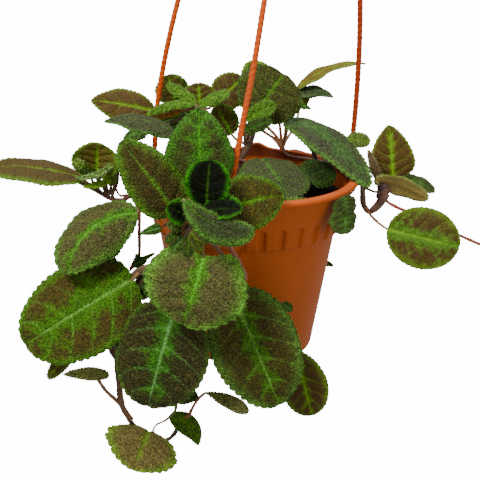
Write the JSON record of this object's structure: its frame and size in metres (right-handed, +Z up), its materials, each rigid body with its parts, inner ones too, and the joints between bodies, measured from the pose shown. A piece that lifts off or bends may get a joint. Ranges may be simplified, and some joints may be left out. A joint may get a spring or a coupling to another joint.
{
  "type": "potted trailing flame violet in a hanging pot",
  "caption": "Trailing flame violet with quilted hairy leaves, rooted in soil in a flared fluted hanging pot carried by moulded strands and an open hook.",
  "frame": {"origin": "the point at the top of the inside of the hook's arc, where it bears on what the pot hangs from", "axes": "+Z up along the hang line, +X to the right and +Y to the back, seen from the front, where the large leaves hang over the rim"},
  "size_m": [0.3339, 0.2221, 0.6234],
  "materials": {
    "pot_plastic": "terracotta orange moulded plastic, semi-matt, with fine dust and soil specks",
    "hanger_plastic": "bright orange moulded plastic strand with a twisted surface, satin",
    "leaf": "olive-brown to green quilted hairy leaf with bright green veins, rough; stands for living leaf and stem",
    "soil": "nearly black damp peat soil, very rough; stands for soil"
  },
  "bodies": {
    "root": {"pot": "pot_plastic", "soil": "soil", "hanger_strand_front": "hanger_plastic", "hanger_strand_left": "hanger_plastic", "hanger_strand_right": "hanger_plastic", "hanger_hook": "hanger_plastic", "front_crown": "leaf", "left_plantlet": "leaf", "middle_rosettes": "leaf", "back_plantlet": "leaf", "right_shoot": "leaf", "right_plantlet": "leaf", "inner_leaf_left": "leaf", "inner_leaf_right": "leaf"}
  },
  "joints": []
}
